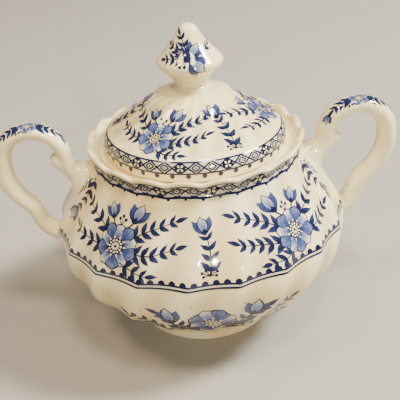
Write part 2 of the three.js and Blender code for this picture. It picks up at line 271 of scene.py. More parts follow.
def rounded(start, corner, end, count=4):
    """Points of a rounded corner after its start."""
    start, corner, end = Vector(start), Vector(corner), Vector(end)
    return sweep(start, start.lerp(corner, 0.6), end.lerp(corner, 0.6), end, count)


def hollow(angle):
    """How far a flute has sunk at an angle: 0 on its crest and 1 in its middle."""
    wave = abs(math.sin(0.5 * FLUTES * angle))
    soft = math.hypot(wave, CREST_SOFTNESS) - CREST_SOFTNESS
    return soft / (math.hypot(1, CREST_SOFTNESS) - CREST_SOFTNESS)


def bowl_twist(z):
    """The flutes lean clockwise on their way down."""
    return -SWIRL * clamped(1 - z / NECK_Z) ** SWIRL_POWER


def bowl_depth(z):
    """Depth of the flutes: none at the foot, full below the belly, shallow at the neck."""
    rising = eased(z, 1.7 * FOOT_H, 0.6 * BELLY_Z)
    fading = mix(1, NECK_SHARE, eased(z, BELLY_Z, NECK_Z))
    return FLUTE_DEPTH * rising * fading * (1 - eased(z, NECK_Z, COLLAR_Z))


def bowl_relief(r, z, angle, share):
    """Radius and height of a point of the wall, moved by the flutes and the collar's scallop, and
    how much glaze has pooled there and how much shade is painted there, from 0 to 1."""
    if share == 0:
        return r, z, 0
    low = hollow(angle)
    lobe = (low - 0.5) * eased(z, NECK_Z - 3, COLLAR_Z)
    r += LOBE_REACH * lobe - bowl_depth(z) * low * share
    return r, z + LOBE_RISE * lobe, low * share


def lid_rise(z):
    """How far up the dome a height lies, from 0 at the band to 1 at the knob."""
    return clamped((z - LID_Z - BAND_H) / (STALK_H - BAND_H))


def lid_twist(z):
    """The waves of the dome lean the other way on their way up to the knob."""
    return LID_SWIRL * lid_rise(z)


def lid_relief(r, z, angle, share):
    """Soft waves round the middle of the dome, with glaze pooled in them and shade painted into
    their hollows.
    """
    rise = lid_rise(z)
    waves = share * eased(rise, 0, 0.15) * (1 - eased(rise, 0.6, 1))
    sunk = LID_FLUTE_DEPTH * waves * (0.5 - 0.5 * math.cos(FLUTES * angle))
    return r, z - sunk, hollow(angle) * waves


def plain_relief(r, z, angle, share):
    """A plain turned wall, with no glaze pooled and no shade painted on it."""
    return r, z, 0


def no_twist(z):
    """A turned wall that leans neither way."""
    return 0.0


def turned(stretches, steps, relief=plain_relief, twist=no_twist):
    """Spins an outline through one flute in steps and copies that round, then moves every vertex by
    the relief and turns every height by the twist."""
    bm = bmesh.new()
    share_layer = bm.verts.layers.float.new("share")
    # Each vertex keeps how deep in a flute it lies. The glaze is darkened there, partly as pooled
    # glaze and partly as painted shade of the flute.
    glaze_pool_and_shade_layer = bm.verts.layers.float.new("glaze_pool_and_shade")
    chain = []
    for points, share in stretches:
        for r, z in points:
            vertex = bm.verts.new((r, 0, z))
            vertex[share_layer] = share
            chain.append(vertex)
    edges = [bm.edges.new(pair) for pair in zip(chain, chain[1:])]
    about = {"cent": (0, 0, 0), "axis": (0, 0, 1)}
    flute = math.tau / FLUTES
    bmesh.ops.spin(bm, geom=chain + edges, angle=flute, steps=steps, **about)
    bmesh.ops.spin(
        bm,
        geom=bm.verts[:] + bm.edges[:] + bm.faces[:],
        angle=math.tau - flute,
        steps=FLUTES - 1,
        use_duplicate=True,
        **about,
    )
    bmesh.ops.remove_doubles(bm, verts=bm.verts, dist=1e-3)
    bmesh.ops.recalc_face_normals(bm, faces=bm.faces)
    for vertex in bm.verts:
        x, y, z = vertex.co
        angle = math.atan2(y, x)
        share = vertex[share_layer]
        r, height, glaze_pool_and_shade = relief(math.hypot(x, y), z, angle, share)
        turn = angle + twist(z)
        vertex.co = (r * math.cos(turn), r * math.sin(turn), height)
        vertex[glaze_pool_and_shade_layer] = glaze_pool_and_shade
    bm.verts.layers.float.remove(share_layer)
    return bm


def bowl_outside():
    """The bowl's outline from the foot up to the rim, on the crests of the flutes."""
    rise = BELLY_Z - FOOT_H
    shoulder = NECK_Z - BELLY_Z
    foot, belly = (FOOT_R, FOOT_H), (BELLY_R, BELLY_Z)
    neck, rim = (NECK_R, NECK_Z), (COLLAR_R, COLLAR_Z - 0.3 * LIP)
    return [
        Vector(foot),
        *sweep(
            foot,
            (mix(FOOT_R, BELLY_R, 0.2), FOOT_H + 0.2 * rise),
            (BELLY_R, FOOT_H + 0.5 * rise),
            belly,
            36,
        ),
        *sweep(
            belly,
            (BELLY_R, BELLY_Z + 0.34 * shoulder),
            (mix(NECK_R, BELLY_R, 0.3), NECK_Z - 0.3 * shoulder),
            neck,
            32,
        ),
        *sweep(
            neck,
            (NECK_R, mix(NECK_Z, COLLAR_Z, 0.3)),
            (mix(NECK_R, COLLAR_R, 0.6), mix(NECK_Z, COLLAR_Z, 0.6)),
            rim,
            12,
        ),
    ]


def inside_of(outside):
    """The outline moved inwards by the wall."""
    points = []
    for before, point, after in zip(outside, outside[1:], outside[2:]):
        run = (after - before).normalized()
        wall = WALL + bowl_depth(point.y) * (1 - INNER_SHARE)
        points.append((point.x - wall * run.y, point.y + wall * run.x))
    return points


def bowl_mesh():
    """The foot, the fluted outside, the collar's lip, the lid's ledge, the mouth and the inside."""
    outside = bowl_outside()
    rim = outside[-1]
    foot_inner = FOOT_R - FOOT_WIDTH
    floor_z = FOOT_RECESS + FLOOR
    foot = [
        (0, FOOT_RECESS),
        (0.5 * foot_inner, FOOT_RECESS),
        (foot_inner - 3 * EDGE, FOOT_RECESS),
        *sweep(
            (foot_inner - 3 * EDGE, FOOT_RECESS),
            (foot_inner - EDGE, FOOT_RECESS),
            (foot_inner, FOOT_RECESS - EDGE),
            (foot_inner, EDGE),
            5,
        ),
        *rounded((foot_inner, EDGE), (foot_inner, 0), (foot_inner + EDGE, 0)),
        (FOOT_R - 0.5 * FOOT_WIDTH, 0),
        (FOOT_R - EDGE, 0),
        *rounded((FOOT_R - EDGE, 0), (FOOT_R, 0), (FOOT_R, EDGE)),
        (FOOT_R, 0.4 * FOOT_H),
        (FOOT_R, 0.7 * FOOT_H),
    ]
    lip_end = (COLLAR_R - 1.3 * LIP, COLLAR_Z - 0.5 * LIP)
    lip = sweep(
        rim,
        (COLLAR_R + 0.25 * LIP, COLLAR_Z + 0.45 * LIP),
        (COLLAR_R - 0.7 * LIP, COLLAR_Z + 0.5 * LIP),
        lip_end,
        12,
    )
    slope = sweep(
        lip_end,
        (LEDGE_R + 1.1, LEDGE_Z + 1),
        (LEDGE_R + 0.3, LEDGE_Z + 0.1),
        (LEDGE_R - 0.8, LEDGE_Z),
        8,
    )
    mouth = [
        (mix(LEDGE_R, MOUTH_R, 0.5), LEDGE_Z),
        (MOUTH_R + EDGE, LEDGE_Z),
        *rounded((MOUTH_R + EDGE, LEDGE_Z), (MOUTH_R, LEDGE_Z), (MOUTH_R, LEDGE_Z - EDGE)),
        (MOUTH_R, LEDGE_Z - LEDGE_THICK),
    ]
    highest = LEDGE_Z - LEDGE_THICK - WALL
    inner = [p for p in inside_of(outside) if floor_z + 2 < p[1] < highest]
    inner.reverse()
    floor = [
        (foot_inner, floor_z + 1.2),
        (0.85 * foot_inner, floor_z + 0.3),
        (0.5 * foot_inner, floor_z),
        (0, floor_z),
    ]
    stretches = [
        (foot, 0),
        (outside + lip, 1),
        (slope, 0),
        (mouth, 0),
        (inner, INNER_SHARE),
        (floor, 0),
    ]
    return turned(stretches, BOWL_STEPS, bowl_relief, bowl_twist)


def lid_outside():
    """The lid's outline from the band up to the knob."""
    band_top = (BAND_R, LID_Z + BAND_H)
    dome = (DOME_R, LID_Z + DOME_H)
    stalk = (STALK_R, LID_Z + STALK_H)
    edge = (LID_R, LID_Z + 0.5 * BAND_H)
    return [
        Vector((LID_R, LID_Z + LID_ROUND)),
        Vector((LID_R, LID_Z + 0.25 * BAND_H)),
        Vector(edge),
        *sweep(
            edge,
            (LID_R, LID_Z + 0.72 * BAND_H),
            (BAND_R + 0.5, LID_Z + 0.9 * BAND_H),
            band_top,
            6,
        ),
        *sweep(
            band_top,
            (mix(BAND_R, DOME_R, 0.15), mix(band_top[1], dome[1], 0.2)),
            (mix(BAND_R, DOME_R, 0.6), mix(band_top[1], dome[1], 0.5)),
            dome,
            22,
        ),
        *sweep(
            dome,
            (mix(DOME_R, STALK_R, 0.38), mix(dome[1], stalk[1], 0.52)),
            (mix(DOME_R, STALK_R, 0.86), mix(dome[1], stalk[1], 0.5)),
            stalk,
            12,
        ),
    ]


def lid_mesh():
    """The hollow underneath with its flange, then the rounded edge, the band and the dome."""
    hollow_r = FLANGE_R - FLANGE_THICK
    dome_z = LID_Z + DOME_H - LID_WALL
    underside = [
        (0, dome_z),
        (0.5 * DOME_R, dome_z - 0.1),
        *sweep(
            (0.5 * DOME_R, dome_z - 0.1),
            (DOME_R + 2, dome_z - 1),
            (hollow_r - 3, LID_Z + 8),
            (hollow_r, LID_Z + 1.5),
            14,
        ),
        (hollow_r, FLANGE_Z + 3),
        (hollow_r, FLANGE_Z + EDGE),
        *sweep(
            (hollow_r, FLANGE_Z + EDGE),
            (hollow_r + 0.3, FLANGE_Z),
            (FLANGE_R - 0.3, FLANGE_Z),
            (FLANGE_R, FLANGE_Z + EDGE),
            8,
        ),
        (FLANGE_R, FLANGE_Z + 3),
        (FLANGE_R, LID_Z),
        (mix(FLANGE_R, LID_R, 0.5), LID_Z),
        (LID_R - LID_ROUND, LID_Z),
        *sweep(
            (LID_R - LID_ROUND, LID_Z),
            (LID_R - 0.5, LID_Z),
            (LID_R, LID_Z + 0.5),
            (LID_R, LID_Z + LID_ROUND),
            5,
        )[:-1],
    ]
    top = [(0.5 * STALK_R, LID_Z + STALK_H), (0, LID_Z + STALK_H)]
    stretches = [(underside, 0), (lid_outside(), 1), (top, 0)]
    return turned(stretches, LID_STEPS, lid_relief, lid_twist)


def knob_outside():
    """The knob's outline from the lid up to its tip."""
    foot = (STALK_R + 0.15, LID_Z + STALK_H - KNOB_SUNK)
    below = (KNOB_R - 0.5 * SKIRT_ROUND, SKIRT_Z - SKIRT_ROUND)
    above = (KNOB_R - 0.4 * SKIRT_ROUND, SKIRT_Z + SKIRT_ROUND)
    tip = (TIP_R, KNOB_TOP - 0.8 * TIP_R)
    return [
        Vector(foot),
        *sweep(
            foot,
            (STALK_R, foot[1] + 3.9),
            (below[0] - SKIRT_ROUND, below[1] - 1.8),
            below,
            18,
        ),
        *sweep(
            below,
            (below[0] + 0.75, below[1] + 0.9),
            (above[0] + 0.9, above[1] - 1),
            above,
            9,
        ),
        *sweep(
            above,
            (above[0] - 2.3, above[1] + 2.5),
            (TIP_R + 3.1, tip[1] - 4.9),
            tip,
            18,
        ),
        *sweep(
            tip,
            (0.82 * TIP_R, tip[1] + 0.4 * TIP_R),
            (0.6 * TIP_R, KNOB_TOP),
            (0, KNOB_TOP),
            12,
        ),
    ]


def knob_mesh():
    """The bell-shaped knob with a closed base, sunk into the lid's stalk."""
    base = (0, LID_Z + STALK_H - KNOB_SUNK)
    return turned([([base], 0), (knob_outside(), 0)], KNOB_STEPS)


# Handles


def bowl_radius(z, angle=None):
    """Radius of the bowl's outside at a height, at an angle or halfway between crest and hollow."""
    for a, b in zip(BOWL_OUTSIDE, BOWL_OUTSIDE[1:]):
        if b.y > z:
            break
    r = mix(a.x, b.x, clamped((z - a.y) / (b.y - a.y)))
    sunk = 0.5 if angle is None else hollow(angle - bowl_twist(z))
    return r - bowl_depth(z) * sunk


def spline(points, t):
    """The point at t from 0 to 1 along a curve that passes evenly through the points."""
    count = len(points) - 1
    i = min(int(t * count), count - 1)
    b, c = points[i], points[i + 1]
    a = points[i - 1] if i else 2 * b - c
    d = points[i + 2] if i + 2 <= count else 2 * c - b
    knots = [0.0]
    for p, q in ((a, b), (b, c), (c, d)):
        knots.append(knots[-1] + max((q - p).length, 1e-6) ** 0.5)
    u = mix(knots[1], knots[2], t * count - i)

    def blend(p, q, start, end):
        return p.lerp(q, (u - knots[start]) / (knots[end] - knots[start]))

    ab, bc, cd = blend(a, b, 0, 1), blend(b, c, 1, 2), blend(c, d, 2, 3)
    return blend(blend(ab, bc, 0, 2), blend(bc, cd, 1, 3), 1, 2)


def measured(points):
    """Each point with its distance along the path."""
    path = [(0.0, points[0])]
    for point in points[1:]:
        path.append((path[-1][0] + (point - path[-1][1]).length, point))
    return path


def walk(path, distance):
    """The point at a distance along a measured path, and the direction of the path there."""
    low, high = 0, len(path) - 1
    while high - low > 1:
        middle = (low + high) // 2
        if path[middle][0] < distance:
            low = middle
        else:
            high = middle
    (start, a), (end, b) = path[low], path[high]
    return a.lerp(b, (distance - start) / (end - start)), (b - a).normalized()


def evenly(points, count, fine=1500):
    """Points at even distances along the spline through the given points, from its fine steps."""
    path = measured([spline(points, i / fine) for i in range(fine + 1)])
    return [walk(path, path[-1][0] * i / count)[0] for i in range(count + 1)]


def scroll_route(own):
    """Centre line of a handle on the +X side, from the root over the arch to the low joint."""
    root = Vector((bowl_radius(ROOT_Z), 0, ROOT_Z))
    low = Vector((bowl_radius(LOW_Z), 0, LOW_Z))
    arm = Vector((own.arm_r, 0, own.arch_z))
    elbow = low + Vector((own.elbow_out, 0, own.elbow_rise))
    half = 0.5 * (HANDLE_REACH / abs(math.cos(own.turn)) - own.arm_r - 0.5 * own.loop_thick)
    arch = []
    for degrees in (170, 140, 112, 84, 56, 28, 0):
        angle = math.radians(degrees)
        out = own.arm_r + half * (1 + math.cos(angle))
        arch.append(Vector((out, 0, own.arch_z + own.arch_rise * math.sin(angle))))

    def bends(a, b, shares):
        return [Vector((mix(a.x, b.x, out), 0, mix(a.z, b.z, up))) for out, up in shares]

    return [
        root - BURIED * Vector((math.cos(own.root_lean), 0, math.sin(own.root_lean))),
        root,
        *bends(root, arm, own.arm_bends),
        *arch,
        *bends(elbow, arch[-1], own.loop_bends),
        elbow,
        *bends(low, elbow, own.low_bends),
        low - Vector((BURIED, 0, 0.35 * BURIED)),
    ]


def scroll_section(own, t, centre):
    """Thickness and width of a handle at t along it, with a flare at the root."""
    stops = (
        (0, own.arm_thick),
        (0.2, own.arm_thick),
        (0.36, own.arch_thick),
        (0.56, own.loop_thick),
        (0.8, own.elbow_thick),
        (1, own.low_thick),
    )
    for (t0, thick0), (t1, thick1) in zip(stops, stops[1:]):
        if t <= t1:
            break
    thick = mix(thick0, thick1, eased(t, t0, t1))
    away = (centre.x - bowl_radius(centre.z)) / own.root_reach if t < 0.5 else 1
    near = clamped(1 - away) ** 2
    return thick + (own.root_thick - own.arm_thick) * near, mix(HANDLE_WIDTH, ROOT_WIDTH, near)


def spur_route(own):
    """Centre line of the spur inside the scroll, curling from its foot up to its tip."""
    r = own.arm_r + own.spur_out
    return [
        Vector((r - back * own.spur_lean, 0, mix(own.spur_foot, own.spur_top, up)))
        for back, up in ((1.3, -0.3), (0.75, 0), (0.36, 0.3), (0.07, 0.62), (0, 1))
    ]


def spur_section(own, t, centre):
    """Thickness and width of the spur, which ends in a round tip."""
    size = math.sqrt(max(0.0004, 1 - clamped((t - 0.72) / 0.28) ** 2))
    return own.spur_thick * size, SPUR_WIDTH * size


def section_frames(own, route, section, rings):
    """A matrix for each ring of a handle: its centre, half its thickness and half its width."""
    centres = evenly(route, rings)
    across = Vector((0, 1, 0))
    frames = []
    for i, centre in enumerate(centres):
        ahead, behind = centres[min(i + 1, rings)], centres[max(i - 1, 0)]
        along = (ahead - behind).normalized()
        thick, width = section(own, i / rings, centre)
        out = along.cross(across).normalized() * 0.5 * thick
        columns = (out, across * 0.5 * width, along, centre)
        ring = Matrix([[c[row] for c in columns] for row in range(3)] + [[0, 0, 0, 1]])
        frames.append(Matrix.Rotation(own.turn, 4, "Z") @ ring)
    return frames


def lofted(frames, sides):
    """Extrudes a round edge from ring to ring and closes its two ends."""
    bm = bmesh.new()
    bmesh.ops.create_circle(bm, segments=sides, radius=1, matrix=frames[0])
    edges = bm.edges[:]
    bmesh.ops.edgeloop_fill(bm, edges=edges)
    for before, after in zip(frames, frames[1:]):
        made = bmesh.ops.extrude_edge_only(bm, edges=edges)["geom"]
        ring = [item for item in made if isinstance(item, bmesh.types.BMVert)]
        bmesh.ops.transform(bm, matrix=after @ before.inverted(), verts=ring)
        tips = set(ring)
        edges = [
            item
            for item in made
            if isinstance(item, bmesh.types.BMEdge) and tips.issuperset(item.verts)
        ]
    bmesh.ops.edgeloop_fill(bm, edges=edges)
    bmesh.ops.recalc_face_normals(bm, faces=bm.faces)
    return bm


def join(bm, other):
    """Adds another bmesh's shape to a bmesh."""
    carrier = bpy.data.meshes.new("carrier")
    other.to_mesh(carrier)
    bm.from_mesh(carrier)
    bpy.data.meshes.remove(carrier)


def one_skin(bm, cell, softenings):
    """Joins overlapping shapes into one skin of small cells and softens its creases."""
    mesh = bpy.data.meshes.new("skin")
    bm.to_mesh(mesh)
    holder = bpy.data.objects.new("skin", mesh)
    bpy.context.scene.collection.objects.link(holder)
    remesh = holder.modifiers.new("skin", "REMESH")
    remesh.mode = "VOXEL"
    remesh.voxel_size = cell
    skin = holder.evaluated_get(bpy.context.evaluated_depsgraph_get())
    bm.clear()
    bm.from_mesh(skin.to_mesh())
    skin.to_mesh_clear()
    bpy.data.objects.remove(holder)
    bpy.data.meshes.remove(mesh)
    for _ in range(softenings):
        bmesh.ops.smooth_vert(
            bm, verts=bm.verts, factor=0.5, use_axis_x=True, use_axis_y=True, use_axis_z=True
        )


def bowl_gap(point):
    """Distance from the bowl's outside, and the direction straight away from it."""
    angle = math.atan2(point.y, point.x)
    z = min(point.z, NECK_Z)
    slope = bowl_radius(z + 0.5) - bowl_radius(z - 0.5)
    away = Vector((math.cos(angle), math.sin(angle), -slope)).normalized()
    gap = math.hypot(point.x, point.y) - bowl_radius(z, angle)
    return gap / math.hypot(1, slope), away


def lute(bm, frames):
    """Spreads a handle's ends over the bowl in a small fillet, and stops them inside its wall."""
    centres = [frame_matrix.to_translation() for frame_matrix in frames]
    for vertex in bm.verts:
        gap, away = bowl_gap(vertex.co)
        if gap > FILLET:
            continue
        centre = min(centres, key=lambda c: (c - vertex.co).length_squared)
        side = vertex.co - centre
        side -= away * side.dot(away)
        height = clamped(gap / FILLET)
        spread = FILLET * (1 - math.sqrt(1 - (1 - height) ** 2))
        vertex.co += side.normalized() * spread
        now, away = bowl_gap(vertex.co)
        vertex.co += away * (max(gap, -EMBEDDED) - now)


class Handle:
    """A handle: the rings of its scroll, its skin with the spur, and a finder of points on it."""

    def __init__(self, own):
        self.frames = section_frames(own, scroll_route(own), scroll_section, SCROLL_RINGS)
        self.skin = lofted(self.frames, SCROLL_SIDES)
        spur_frames = section_frames(own, spur_route(own), spur_section, SPUR_RINGS)
        spur = lofted(spur_frames, SPUR_SIDES)
        join(self.skin, spur)
        spur.free()
        one_skin(self.skin, SKIN_CELL, SOFTENINGS)
        lute(self.skin, self.frames)
        self.surface = BVHTree.FromBMesh(self.skin)


# Print


def inked():
    """An empty bmesh with a layer for the strength of the ink."""
    bm = bmesh.new()
    bm.verts.layers.float.new("ink")
    return bm


class Print:
    """Blue shapes drawn flat in millimetres, x to the right and y up, and pressed onto the ware."""

    def __init__(self):
        self.pressed = inked()
        self.flat = inked()

    def patch(self, long, wide, shape, layer):
        """A small grid, each of its vertices placed and inked by the shape."""
        grid = bmesh.ops.create_grid(self.flat, x_segments=long, y_segments=wide, size=1)
        ink_layer = self.flat.verts.layers.float["ink"]
        for vertex in grid["verts"]:
            x, y, ink = shape(vertex.co.x, vertex.co.y)
            vertex.co = (x, y, layer * LAYER)
            vertex[ink_layer] = ink

    def line(self, points, width=0.4, ink=0.9, end_width=None, layer=2):
        """A stroke through the points."""
        path = measured([Vector(point) for point in points])
        length = path[-1][0]
        end_width = width if end_width is None else end_width

        def shape(u, v):
            share = 0.5 + 0.5 * u
            point, run = walk(path, share * length)
            half = 0.5 * v * mix(width, end_width, share)
            return point.x - half * run.y, point.y + half * run.x, ink

        widest = max(width, end_width)
        self.patch(math.ceil(length / CELL), math.ceil(widest / CELL), shape, layer)

    def leaf(self, x, y, turn, length, width, ink=0.8, tip_ink=None, fullest=0.4, layer=1):
        """A leaf or petal that grows from x, y and is widest at a share of its length."""
        tip_ink = ink if tip_ink is None else tip_ink
        power = math.log(0.5) / math.log(fullest)
        cosine, sine = math.cos(turn), math.sin(turn)

        def shape(u, v):
            share = 0.5 + 0.5 * u
            along = length * share
            across = 0.5 * width * v * max(0.08, math.sin(math.pi * share**power))
            return (
                x + along * cosine - across * sine,
                y + along * sine + across * cosine,
                mix(ink, tip_ink, share),
            )

        long, wide = max(4, math.ceil(length / CELL)), 2 * math.ceil(0.5 * width / CELL)
        self.patch(long, wide, shape, layer)

    def dot(self, x, y, radius, ink=0.95, layer=3):
        """A round spot: a square grid bulged into a disc."""

        def shape(u, v):
            across = u * math.sqrt(1 - 0.5 * v * v)
            return x + radius * across, y + radius * v * math.sqrt(1 - 0.5 * u * u), ink

        cells = 2 * math.ceil(max(radius, CELL) / CELL)
        self.patch(cells, cells, shape, layer)

    def press(self, place):
        """Lays the shapes drawn since the last press on the ware."""
        for vertex in self.flat.verts:
            vertex.co = place(*vertex.co)
        join(self.pressed, self.flat)
        self.flat.free()
        self.flat = inked()


def on_ware(path, relief, twist, centre, start, around=None):
    """Places a drawing on a turned piece, its origin at an angle in degrees and at a distance up
    the outline. A band that is drawn to the length around closes on itself."""
    centre = math.radians(centre)

    def place(x, y, lift):
        point, run = walk(path, start + y)
        angle = centre + (math.tau * x / around if around else x / max(point.x, 1))
        r, z, _ = relief(point.x, point.y, angle - twist(point.y), 1)
        r += (lift + PRINT_LIFT) * run.y
        return r * math.cos(angle), r * math.sin(angle), z - (lift + PRINT_LIFT) * run.x

    return place


def on_bowl(centre, height, around=None):
    """Places a drawing on the bowl's outside, from a height."""
    start = next(distance for distance, point in BOWL_PATH if point.y >= height)
    return on_ware(BOWL_PATH, bowl_relief, bowl_twist, centre, start, around)


def on_lid(centre, start, around=None):
    """Places a drawing on the lid, from a distance up its outline."""
    return on_ware(LID_PATH, lid_relief, lid_twist, centre, start, around)


def on_knob(centre, start):
    """Places a drawing on the knob, from a distance up its outline."""
    return on_ware(KNOB_PATH, plain_relief, no_twist, centre, start)


def on_handle(handle, start, aside):
    """Places a drawing on the outer side of a handle: a share of the way along it, and aside."""
    last = len(handle.frames) - 1
    centres = [ring.to_translation() for ring in handle.frames]
    length = measured(centres)[-1][0]

    def place(x, y, lift):
        at = clamped(start + y / length) * last
        i = min(int(at), last - 1)
        ring = handle.frames[i].lerp(handle.frames[i + 1], at - i)
        turn = -(x + aside) / (0.5 * HANDLE_WIDTH)
        point = ring @ Vector((math.cos(turn), math.sin(turn), 0))
        spot, away, _, _ = handle.surface.find_nearest(point)
        return spot + away * (lift + PRINT_LIFT)

    return place


# Motifs


def ahead(x, y, turn, distance):
    """The point at a distance from x, y in a direction."""
    return x + distance * math.cos(turn), y + distance * math.sin(turn)


def branch(blue, x, y, turn, bend, length, pairs, leaf=5.2):
    """A bending stem with leaves in pairs that shrink towards its tip, and one leaf at the end. The
    stem takes four steps to each pair."""
    steps = 4 * pairs
    points = [(x, y)]
    for i in range(1, steps + 1):
        turn += bend / steps
        x, y = ahead(x, y, turn, length / steps)
        points.append((x, y))
        if i % 4 == 2:
            size = leaf * mix(1, 0.62, i / steps)
            for side in (0.85, -0.75):
                blue.leaf(x, y, turn + side, size, 0.42 * size, 0.95, 0.75)
    blue.leaf(x, y, turn, 0.85 * leaf, 0.34 * leaf, 0.95, 0.75)
    blue.line(points, 0.6, 0.95, end_width=0.35)
    return x, y, turn


def tulip(blue, x, y, turn, size):
    """A cup of three petals seen from the side, with a dark calyx and fine veins."""
    for side in (0.52, -0.52):
        blue.leaf(x, y, turn + side, size, 0.46 * size, 0.9, 0.55, fullest=0.55)
    blue.leaf(x, y, turn, 1.02 * size, 0.56 * size, 0.9, fullest=0.6, layer=1.5)
    blue.leaf(x, y, turn, 0.96 * size, 0.46 * size, 0.5, 0.1, fullest=0.6, layer=2)
    for side in (0.17, 0, -0.17):
        vein = [(x, y), ahead(x, y, turn + side, 0.7 * size)]
        blue.line(vein, 0.3, 0.85, end_width=0.14, layer=3)
    blue.leaf(x, y, turn, 0.34 * size, 0.36 * size, 0.95, layer=4)


def daisy(blue, x, y, radius, petals=10, stamens=12):
    """Round petals, washed and bare in turn, round a dark centre with pale stamens."""
    for i in range(petals):
        turn = math.tau * (i + 0.5) / petals
        washed = i % 2
        tip_ink = 0.42 if washed else 0.02
        outline = (1 + 0.06 * washed) * radius
        inside = (0.95 + 0.06 * washed) * radius
        width = 2.2 * radius * math.sin(math.pi / petals)
        blue.leaf(x, y, turn, outline, width, 0.9, fullest=0.76, layer=1 + washed)
        blue.leaf(x, y, turn, inside, 0.84 * width, 0.8, tip_ink, fullest=0.76, layer=1.5 + washed)
        for side in (-0.12, 0, 0.12):
            root = ahead(x, y, turn + side, 0.3 * radius)
            tip = ahead(x, y, turn + side, (0.72 - abs(side)) * radius)
            blue.line([root, tip], 0.3, 0.8, end_width=0.14, layer=3)
    blue.dot(x, y, 0.36 * radius, 0.95, layer=4)
    for i in range(stamens):
        turn = math.tau * i / stamens
        blue.dot(*ahead(x, y, turn, 0.27 * radius), 0.045 * radius, 0, layer=5)
        root, tip = ahead(x, y, turn, 0.07 * radius), ahead(x, y, turn, 0.19 * radius)
        blue.line([root, tip], 0.035 * radius, 0, layer=5)


def berries(blue, x, y, turn, size):
    """Three berries on short stalks."""
    for side, reach in ((0.5, 2.6), (0, 3.4), (-0.5, 2.6)):
        tip = ahead(x, y, turn + side, reach * size)
        blue.line([(x, y), tip], 0.35, 0.9)
        blue.dot(*tip, 0.62 * size, 0.9)


def bouquet(blue, place, size=1.0, flip=1):
    """A large daisy with two tulips and berries over it, and leafy branches to both sides."""
    middle = 9.2 * size
    # Each branch: its root out and up from the middle, lean, bend, length and pairs of leaves.
    branches = (
        (5, 3, 0.85, 0.35, 18, 5),
        (6, -2, 1.5, -0.3, 18, 5),
        (3, -6, 1.95, -0.35, 12, 3),
        (-5, 3, -0.9, -0.4, 18, 4),
        (-6, -2, -1.65, 0.35, 17, 4),
    )
    for out, up, lean, bend, length, pairs in branches:
        root = (flip * out * size, middle + up * size)
        turn = math.pi / 2 - flip * lean
        branch(blue, *root, turn, -flip * bend, length * size, pairs, 5.6 * size)
    for out, lean, size_share in ((4.5, 0.3, 1.0), (-4.5, -0.45, 0.82)):
        root = (flip * 0.3 * out * size, middle + 6 * size)
        tip = (flip * out * size, middle + (9.6 - abs(lean)) * size)
        blue.line([root, tip], 0.65, 0.95)
        tulip(blue, *tip, math.pi / 2 - flip * lean, 8 * size * size_share)
    berries(blue, 0, middle + 8 * size, math.pi / 2, 1.1 * size)
    daisy(blue, 0, middle, 8.8 * size)
    blue.press(place)


def sprig(blue, place, size=1.0, bend=0.5):
    """One upright branch that ends in a tulip, with berries at its foot."""
    x, y, turn = branch(blue, 0, 0, math.pi / 2 - 0.5 * bend, bend, 17 * size, 4, 6 * size)
    tulip(blue, x, y, turn, 7.4 * size)
    berries(blue, 0, 0.5, math.pi / 2 + 1.15, size)
    berries(blue, 0, 0.5, math.pi / 2 - 1.15, size)
    blue.press(place)


def trail(blue, place, flip):
    """A branch that hangs from the collar and ends in a tulip, with a second branch beside it."""
    x, y, turn = branch(blue, 0, 0, -math.pi / 2 - 0.3 * flip, 0.7 * flip, 15, 4, 5)
    tulip(blue, x, y, turn, 7)
    branch(blue, 1.5 * flip, -1, -math.pi / 2 + 0.75 * flip, -0.3 * flip, 10, 3, 4.2)
    blue.press(place)


def garland(blue, place):
    """Tall branches and buds round a daisy, on a wavy line of ground."""
    ground = [(1.5 * i, 0.9 * math.sin(0.75 * i)) for i in range(-25, 26)]
    blue.line(ground, 1.8, 0.45, layer=1)
    blue.line(ground, 0.8, 0.95)
    up = math.pi / 2
    for flip in (1, -1):
        branch(blue, 8 * flip, 1, up - 0.15 * flip, -0.9 * flip, 24, 5, 7.5)
        branch(blue, 15 * flip, 0, up - 0.7 * flip, -0.3 * flip, 25, 5, 7)
        blue.line([(12 * flip, 1), (16 * flip, 16)], 0.8)
        tulip(blue, 16 * flip, 15, up - 0.3 * flip, 10)
        berries(blue, 30 * flip, 1, up - 0.2 * flip, 1.7)
        branch(blue, 4 * flip, 1, up - 1.1 * flip, 0.3 * flip, 12, 3, 6)
    daisy(blue, 0, 14, 10, petals=8)
    blue.press(place)


def lattice(blue, pitch, height, cells, drop, width=0.5, wash=0.0):
    """A diamond border: crossed bars, inner diamonds, every third a rosette, and hanging dots."""
    middle = 0.5 * height
    if wash:
        blue.line([(0, middle), (pitch * cells, middle)], height, wash, layer=0.5)
    for i in range(cells):
        left, right = i * pitch, (i + 1) * pitch
        blue.line([(left, 0), (right, height)], width)
        blue.line([(left, height), (right, 0)], width, layer=2.4)
        if i % 3 == 1:
            blue.dot(right, middle, 0.47 * height, layer=3)
            for quarter in range(4):
                turn = math.tau * (quarter + 0.5) / 4
                root = ahead(right, middle, turn, 0.07 * height)
                blue.leaf(*root, turn, 0.28 * height, 0.19 * height, 0, fullest=0.6, layer=4)
        else:
            corners = [(0.27, 0), (0, 0.27), (-0.27, 0), (0, -0.27), (0.27, 0)]
            ring = [(right + a * pitch, middle + b * height) for a, b in corners]
            for pair in zip(ring, ring[1:]):
                blue.line(pair, 0.85 * width)
            blue.dot(right, middle, 0.08 * height)
        blue.dot(left + 0.5 * pitch, -0.55 * drop, 0.5 * drop)
    for y in (0, height):
        blue.line([(0, y), (pitch * cells, y)], width)


# Materials


def linear(hex_colour):
    """Linear colour from an sRGB hex value."""
    channels = [int(hex_colour[i : i + 2], 16) / 255 for i in (1, 3, 5)]
    return [c / 12.92 if c <= 0.04045 else ((c + 0.055) / 1.055) ** 2.4 for c in channels] + [1.0]


def scale_of(size):
    """The scale that gives a texture's pattern a size in millimetres."""
    return 1 / (size * MM)


